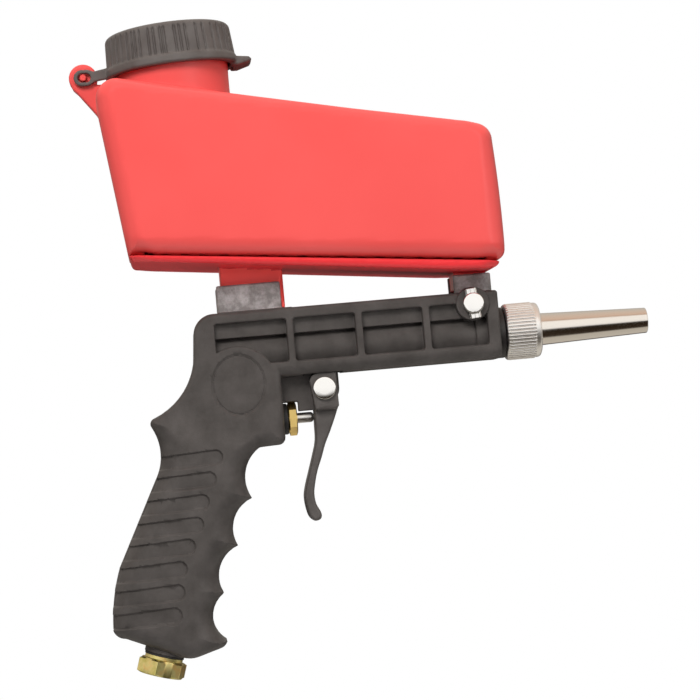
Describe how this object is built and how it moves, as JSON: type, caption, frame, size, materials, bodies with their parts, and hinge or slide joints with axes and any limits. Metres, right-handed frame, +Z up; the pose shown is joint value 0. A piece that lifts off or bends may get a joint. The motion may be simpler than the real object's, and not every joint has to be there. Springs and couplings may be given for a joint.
{
  "type": "media blasting gun",
  "caption": "Hand-held air blasting gun with pistol grip, lever valve, top-fed media hopper with snap lid, and a long nozzle held by a knurled nut.",
  "frame": {"origin": "centre of the air inlet's mouth, under the grip", "axes": "+X along the barrel to the muzzle, +Z up; the plane y = 0 cuts the gun in half along its length"},
  "size_m": [0.2461, 0.064, 0.2849],
  "materials": {
    "body": "moulded glass-filled nylon, satin, slightly mottled",
    "black_plastic": "moulded, satin",
    "hopper": "blow-moulded red plastic, satin",
    "hopper_base": "moulded red plastic, satin",
    "chrome": "bright",
    "nozzle_metal": "polished nickel",
    "zinc": "yellow zinc plate",
    "steel": "ground",
    "brass": "turned",
    "dark_steel": "blued",
    "rubber": "matte",
    "fibre": "matte"
  },
  "bodies": {
    "gun": {"gun_body": "body", "inlet_fitting": "zinc", "inlet_washer": "rubber", "valve_seat": "brass", "valve_spring": "steel", "gland_nut": "brass", "gland_washer": "rubber", "stem_seal": "rubber", "trigger_pin": "chrome", "pin_clip": "dark_steel", "air_jet": "brass", "jet_seal": "rubber", "hopper_shell": "hopper", "hopper_base": "hopper_base", "spout_seal": "rubber", "hopper_screw": "steel", "screw_washer": "rubber"},
    "trigger": {"trigger": "black_plastic"},
    "stem": {"valve_stem": "steel", "valve_poppet": "brass", "poppet_seal": "rubber"},
    "regulator": {"regulator_shaft": "chrome", "regulator_seals": "rubber", "regulator_clip": "dark_steel"},
    "nozzle": {"nozzle": "nozzle_metal", "nozzle_washer": "fibre"},
    "nozzle_nut": {"nozzle_nut": "chrome"},
    "lid": {"hopper_lid": "black_plastic"}
  },
  "joints": [
    {"name": "trigger_pull", "type": "hinge", "parent": "gun", "child": "trigger", "pos_m": [0.0816, 0, 0.1179], "axis": [0, 1, 0], "range_deg": [0, 15]},
    {"name": "stem_slide", "type": "slide", "parent": "gun", "child": "stem", "axis": [-1, 0, 0], "range_m": [0, 0.0035], "stiffness_N_per_m": 1500, "springref_m": -0.002, "deforming": ["valve_spring"]},
    {"name": "regulator_turn", "type": "hinge", "parent": "gun", "child": "regulator", "pos_m": [0.1491, 0, 0.1489], "axis": [0, 1, 0], "range_deg": [0, 90]},
    {"name": "nozzle_slide", "type": "slide", "parent": "gun", "child": "nozzle", "axis": [1, 0, 0], "range_m": [0, 0.0075]},
    {"name": "nut_turn", "type": "hinge", "parent": "nozzle", "child": "nozzle_nut", "pos_m": [0.171, 0, 0.1357], "axis": [1, 0, 0], "range_deg": [0, 1802]},
    {"name": "lid_open", "type": "hinge", "parent": "gun", "child": "lid", "pos_m": [-0.0113, 0, 0.2621], "axis": [0, -1, 0], "range_deg": [0, 110]}
  ],
  "couplings": [
    {"joint": "trigger_pull", "follows": "stem_slide", "rad_per_m": 74.8},
    {"joint": "nut_turn", "follows": "nozzle_slide", "rad_per_m": 4188.8}
  ]
}
